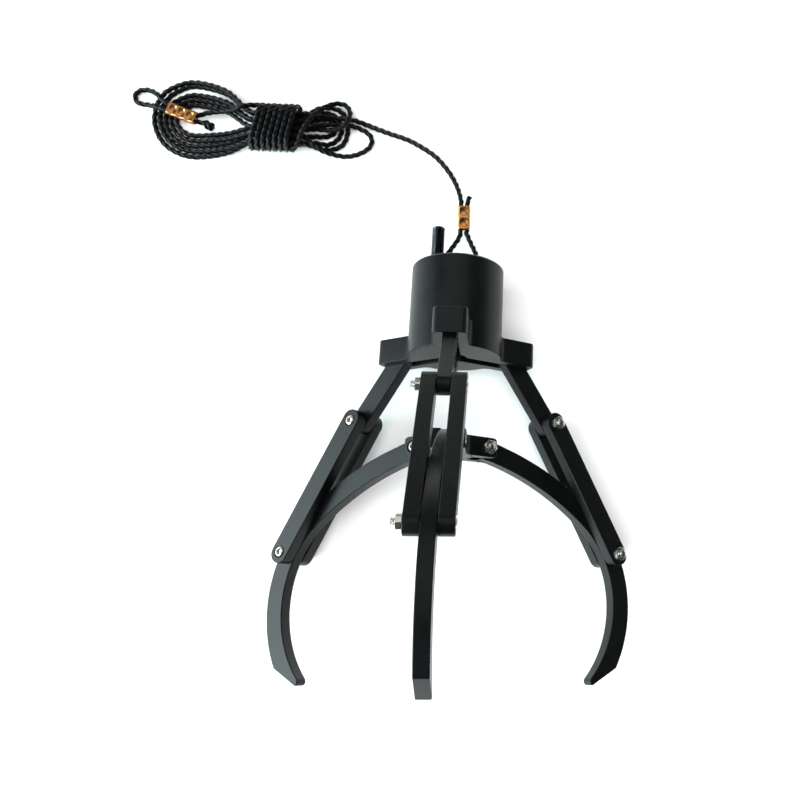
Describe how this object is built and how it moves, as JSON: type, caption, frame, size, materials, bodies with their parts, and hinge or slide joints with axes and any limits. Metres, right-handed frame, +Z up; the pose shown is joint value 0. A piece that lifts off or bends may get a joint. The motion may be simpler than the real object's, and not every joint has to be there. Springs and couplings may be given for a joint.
{
  "type": "three-claw cord-hung gripper",
  "caption": "Claw gripper with curved claws on a sliding hub, linked to fixed arms on a round body, hung on a crimped cord.",
  "frame": {"origin": "centre of the bounding box's bottom face, without the cord: the gripper lies on the ground on two claws' elbow screws and the rim of its body", "axes": "+Z up from the ground, +Y along the ground from the claws to the cord, +X to the right seen from above; the gripper's own axis lies in the YZ plane, tipped down towards the cord"},
  "size_m": [0.2389, 0.2732, 0.1511],
  "materials": {
    "printed_plastic": "3-D printed, satin",
    "steel": "plated, bright",
    "blackened_steel": "black oxide",
    "bush": "turned",
    "crimp": "pressed, bright",
    "cord": "twisted, slightly glossy"
  },
  "bodies": {
    "body": {"body_shell": "printed_plastic", "top_cap": "printed_plastic", "cap_grub_screw": "blackened_steel", "mount_stud": "blackened_steel", "stud_nut": "blackened_steel", "guide_bush": "bush", "arm_1": "printed_plastic", "arm_2": "printed_plastic", "arm_3": "printed_plastic", "cord_loop": "cord", "cord_crimp": "crimp", "cord_free": "cord", "cord_hank": "cord", "end_crimp": "crimp"},
    "hub": {"hub": "printed_plastic", "pull_rod": "steel", "rod_nuts": "steel", "stop_washer": "steel", "hub_screws": "steel", "hub_nuts": "steel"},
    "link_1": {"link_1_plate_a": "printed_plastic", "link_1_plate_b": "printed_plastic", "link_1_screws": "steel", "link_1_nuts": "steel"},
    "link_2": {"link_2_plate_a": "printed_plastic", "link_2_plate_b": "printed_plastic", "link_2_screws": "steel", "link_2_nuts": "steel"},
    "link_3": {"link_3_plate_a": "printed_plastic", "link_3_plate_b": "printed_plastic", "link_3_screws": "steel", "link_3_nuts": "steel"},
    "claw_1": {"claw_1": "printed_plastic"},
    "claw_2": {"claw_2": "printed_plastic"},
    "claw_3": {"claw_3": "printed_plastic"}
  },
  "joints": [
    {"name": "hub_slide", "type": "slide", "parent": "body", "child": "hub", "axis": [0, 0.9664, -0.2571], "range_m": [0, 0.0225]},
    {"name": "link_1_hinge", "type": "hinge", "parent": "body", "child": "link_1", "pos_m": [0, 0.03025, 0.08554], "axis": [1, 0, 0], "range_deg": [0, 31.57]},
    {"name": "claw_1_hinge", "type": "hinge", "parent": "hub", "child": "claw_1", "pos_m": [0, 0.00707, 0.056], "axis": [1, 0, 0], "range_deg": [0, 34.51]},
    {"name": "link_2_hinge", "type": "hinge", "parent": "body", "child": "link_2", "pos_m": [0.04287, 0.01116, 0.01378], "axis": [-0.5, -0.2227, -0.8369], "range_deg": [0, 31.57]},
    {"name": "claw_2_hinge", "type": "hinge", "parent": "hub", "child": "claw_2", "pos_m": [0.01299, 0.00129, 0.03426], "axis": [-0.5, -0.2227, -0.8369], "range_deg": [0, 34.51]},
    {"name": "link_3_hinge", "type": "hinge", "parent": "body", "child": "link_3", "pos_m": [-0.04287, 0.01116, 0.01378], "axis": [-0.5, 0.2227, 0.8369], "range_deg": [0, 31.57]},
    {"name": "claw_3_hinge", "type": "hinge", "parent": "hub", "child": "claw_3", "pos_m": [-0.01299, 0.00129, 0.03426], "axis": [-0.5, 0.2227, 0.8369], "range_deg": [0, 34.51]}
  ],
  "couplings": [
    {"joint": "link_1_hinge", "follows": "hub_slide", "rad_per_m": 24.448},
    {"joint": "claw_1_hinge", "follows": "hub_slide", "rad_per_m": 26.728},
    {"joint": "link_2_hinge", "follows": "hub_slide", "rad_per_m": 24.448},
    {"joint": "claw_2_hinge", "follows": "hub_slide", "rad_per_m": 26.728},
    {"joint": "link_3_hinge", "follows": "hub_slide", "rad_per_m": 24.448},
    {"joint": "claw_3_hinge", "follows": "hub_slide", "rad_per_m": 26.728}
  ]
}
